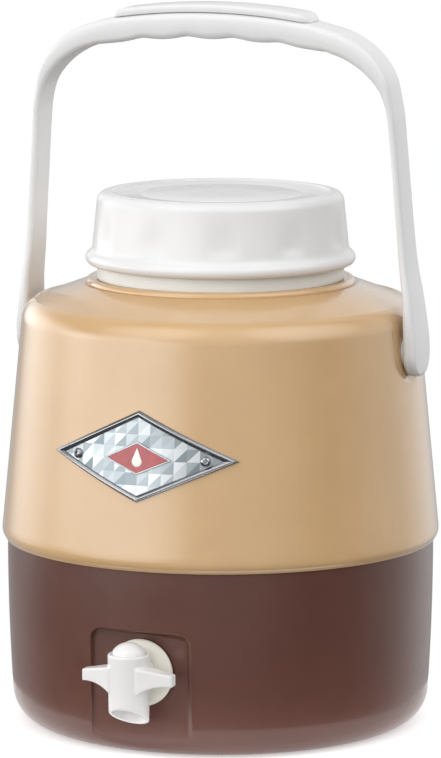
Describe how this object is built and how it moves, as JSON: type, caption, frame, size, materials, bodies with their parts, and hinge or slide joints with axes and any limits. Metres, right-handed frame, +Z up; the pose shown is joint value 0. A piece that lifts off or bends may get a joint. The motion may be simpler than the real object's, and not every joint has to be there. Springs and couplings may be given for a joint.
{
  "type": "insulated drinks jug",
  "caption": "Large insulated water jug: foam-filled two-colour shell, screw lid, folding bail handle and push-button tap.",
  "frame": {"origin": "centre of the flat underside, on the jug's upright axis", "axes": "+Z up along the jug's axis; the tap and badge face -Y; the bail handle pivots about X"},
  "size_m": [0.2502, 0.2698, 0.4117],
  "materials": {
    "tan_shell": "gloss moulded polyethylene, warm tan",
    "brown_shell": "satin moulded polyethylene, dark brown",
    "white_liner": "food-grade polyethylene, white",
    "white_plastic": "moulded polypropylene, soft gloss white",
    "cream_plastic": "moulded polypropylene, creamy white",
    "foam": "rigid polyurethane foam",
    "rubber": "food-grade silicone rubber",
    "badge_metal": "polished and brushed",
    "red_enamel": "red enamel",
    "spring_steel": "bright drawn stainless wire"
  },
  "bodies": {
    "jug_body": {"upper_shell": "tan_shell", "lower_shell": "brown_shell", "reservoir_liner": "white_liner", "reservoir_neck": "white_liner", "insulation_foam": "foam", "foam_fill_plug": "brown_shell", "pivot_bush_left": "tan_shell", "pivot_bush_right": "tan_shell", "badge_frame": "badge_metal", "badge_plate": "badge_metal", "badge_emblem": "red_enamel", "badge_screws": "badge_metal", "tap_body": "white_plastic", "tap_flange": "cream_plastic", "tap_outer_washer": "rubber", "tap_inner_washer": "rubber", "tap_shank_nut": "white_plastic", "tap_stem_seal": "rubber", "tap_spring": "spring_steel"},
    "handle": {"handle_bail": "white_plastic", "handle_grip_cap": "white_plastic"},
    "lid_seal": {"lid_gasket": "rubber"},
    "lid": {"lid_shell": "white_plastic", "lid_plug": "white_liner", "lid_foam": "foam"},
    "tap_plunger": {"tap_button": "white_plastic", "tap_stem": "white_plastic", "tap_valve": "rubber"}
  },
  "joints": [
    {"name": "handle_fold", "type": "hinge", "parent": "jug_body", "child": "handle", "pos_m": [0, 0, 0.218], "axis": [1, 0, 0], "range_deg": [-92.2, 87.8]},
    {"name": "lid_rise", "type": "slide", "parent": "jug_body", "child": "lid_seal", "axis": [0, 0, 1], "range_m": [0, 0.048]},
    {"name": "lid_turn", "type": "hinge", "parent": "lid_seal", "child": "lid", "pos_m": [0, 0, 0.292], "axis": [0, 0, 1], "range_deg": [0, 1440]},
    {"name": "tap_press", "type": "slide", "parent": "jug_body", "child": "tap_plunger", "axis": [0, 0, -1], "range_m": [0, 0.0045], "stiffness_N_per_m": 400, "springref_m": -0.003, "deforming": ["tap_spring"]}
  ],
  "couplings": [
    {"joint": "lid_rise", "follows": "lid_turn", "m_per_rad": 0.0019099}
  ]
}
